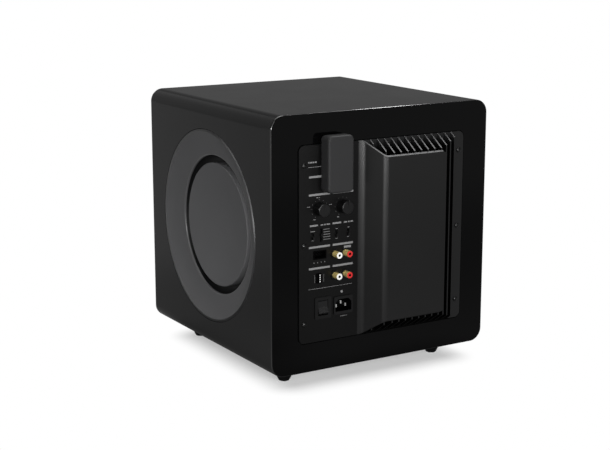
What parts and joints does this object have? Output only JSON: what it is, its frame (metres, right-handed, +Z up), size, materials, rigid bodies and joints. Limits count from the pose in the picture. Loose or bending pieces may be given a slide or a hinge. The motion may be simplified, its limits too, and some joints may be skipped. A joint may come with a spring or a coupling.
{
  "type": "subwoofer",
  "caption": "Cube-shaped active subwoofer with opposed side-firing drivers, a rear amplifier plate with a finned heat sink under a formed cover, and a plug-in receiver.",
  "frame": {"origin": "middle of the footprint, on the floor under the feet", "axes": "+Z up, +Y towards the rear amplifier plate, +X towards the driver that shows in the picture"},
  "size_m": [0.33, 0.362, 0.353],
  "materials": {
    "black_lacquer": "high-gloss black lacquer on fibreboard",
    "fibreboard": "raw board",
    "black_rubber": "matt",
    "ring_plastic": "satin moulded",
    "dish_metal": "satin dark coating",
    "cone_paper": "pressed paper",
    "coil_copper": "enamelled wire on a tube",
    "spider_cloth": "resin-treated cloth",
    "frame_cast": "black coated casting",
    "motor_steel": "plated",
    "ferrite": "sintered",
    "screw_black": "black plated",
    "screw_zinc": "zinc plated",
    "powder_coat": "fine satin powder coat",
    "sink_anodised": "black anodised",
    "board_green": "coated laminate",
    "brass_pillar": "turned",
    "component_black": "moulded",
    "knob_plastic": "moulded black",
    "control_plastic": "moulded black",
    "slider_white": "moulded white",
    "gold_plate": "gold plated",
    "insert_white": "moulded white",
    "insert_red": "moulded red",
    "contact_metal": "nickel plated",
    "rocker_plastic": "moulded black",
    "receiver_plastic": "fine texture"
  },
  "bodies": {
    "root": {"amp_board": "board_green", "board_pillars": "brass_pillar", "brace": "fibreboard", "cabinet_sleeve": "black_lacquer", "contact_blades": "contact_metal", "control_panel": "powder_coat", "dip_block": "control_plastic", "driver_doublers": "fibreboard", "driver_gaskets": "black_rubber", "driver_screws": "screw_zinc", "expansion_port": "control_plastic", "feet": "black_rubber", "foot_screws": "screw_zinc", "front_panel": "black_lacquer", "heatsink": "sink_anodised", "io_board": "board_green", "left_driver_frame": "frame_cast", "left_spider": "spider_cloth", "left_surround": "black_rubber", "left_trim_ring": "ring_plastic", "magnets": "ferrite", "mains_inlet": "control_plastic", "panel_gasket": "black_rubber", "panel_screws": "screw_black", "potentiometers": "motor_steel", "power_board": "board_green", "power_components": "component_black", "rca_inserts_red": "insert_red", "rca_inserts_white": "insert_white", "rca_shells": "gold_plate", "rear_panel": "black_lacquer", "right_driver_frame": "frame_cast", "right_spider": "spider_cloth", "right_surround": "black_rubber", "right_trim_ring": "ring_plastic", "speaker_terminal": "control_plastic", "switch_bodies": "motor_steel", "switch_frame": "control_plastic", "top_plates": "motor_steel", "yokes": "motor_steel"},
    "right_cone_set": {"right_diaphragm": "dish_metal", "right_cone": "cone_paper", "right_voice_coil": "coil_copper"},
    "left_cone_set": {"left_diaphragm": "dish_metal", "left_cone": "cone_paper", "left_voice_coil": "coil_copper"},
    "volume_knob": {"volume_knob": "knob_plastic"},
    "crossover_knob": {"crossover_knob": "knob_plastic"},
    "auto_power_slider": {"auto_power_slider": "control_plastic"},
    "room_eq_slider": {"room_eq_slider": "control_plastic"},
    "phase_slider": {"phase_slider": "control_plastic"},
    "input_mode_slider": {"input_mode_slider": "control_plastic"},
    "dip_slider_1": {"dip_slider_1": "slider_white"},
    "dip_slider_2": {"dip_slider_2": "slider_white"},
    "dip_slider_3": {"dip_slider_3": "slider_white"},
    "dip_slider_4": {"dip_slider_4": "slider_white"},
    "power_rocker": {"power_rocker": "rocker_plastic"},
    "receiver": {"receiver_cover": "receiver_plastic", "receiver_base": "receiver_plastic"}
  },
  "joints": [
    {"name": "right_cone_travel", "type": "slide", "parent": "root", "child": "right_cone_set", "axis": [1, 0, 0], "range_m": [-0.0085, 0.0085], "stiffness_N_per_m": 2500, "deforming": ["right_surround", "right_spider"]},
    {"name": "left_cone_travel", "type": "slide", "parent": "root", "child": "left_cone_set", "axis": [-1, 0, 0], "range_m": [-0.0085, 0.0085], "stiffness_N_per_m": 2500, "deforming": ["left_surround", "left_spider"]},
    {"name": "volume_turn", "type": "hinge", "parent": "root", "child": "volume_knob", "pos_m": [0.0963, 0.155, 0.2332], "axis": [0, 1, 0], "range_deg": [-150, 150]},
    {"name": "crossover_turn", "type": "hinge", "parent": "root", "child": "crossover_knob", "pos_m": [0.0618, 0.155, 0.2332], "axis": [0, 1, 0], "range_deg": [-150, 150]},
    {"name": "auto_power_slide", "type": "slide", "parent": "root", "child": "auto_power_slider", "axis": [0, 0, 1], "range_m": [0, 0.0046]},
    {"name": "room_eq_slide", "type": "slide", "parent": "root", "child": "room_eq_slider", "axis": [0, 0, 1], "range_m": [-0.006, 0.006]},
    {"name": "phase_slide", "type": "slide", "parent": "root", "child": "phase_slider", "axis": [0, 0, 1], "range_m": [0, 0.0046]},
    {"name": "input_mode_slide", "type": "slide", "parent": "root", "child": "input_mode_slider", "axis": [0, 0, 1], "range_m": [0, 0.0046]},
    {"name": "dip_1_slide", "type": "slide", "parent": "root", "child": "dip_slider_1", "axis": [1, 0, 0], "range_m": [0, 0.002]},
    {"name": "dip_2_slide", "type": "slide", "parent": "root", "child": "dip_slider_2", "axis": [1, 0, 0], "range_m": [0, 0.002]},
    {"name": "dip_3_slide", "type": "slide", "parent": "root", "child": "dip_slider_3", "axis": [1, 0, 0], "range_m": [0, 0.002]},
    {"name": "dip_4_slide", "type": "slide", "parent": "root", "child": "dip_slider_4", "axis": [1, 0, 0], "range_m": [0, 0.002]},
    {"name": "power_rocker_tilt", "type": "hinge", "parent": "root", "child": "power_rocker", "pos_m": [0.091, 0.152, 0.1054], "axis": [1, 0, 0], "range_deg": [-20, 0]},
    {"name": "receiver_pull", "type": "slide", "parent": "root", "child": "receiver", "axis": [0, 1, 0], "range_m": [0, 0.012]}
  ],
  "couplings": [
    {"joint": "left_cone_travel", "follows": "right_cone_travel", "ratio": 1}
  ]
}
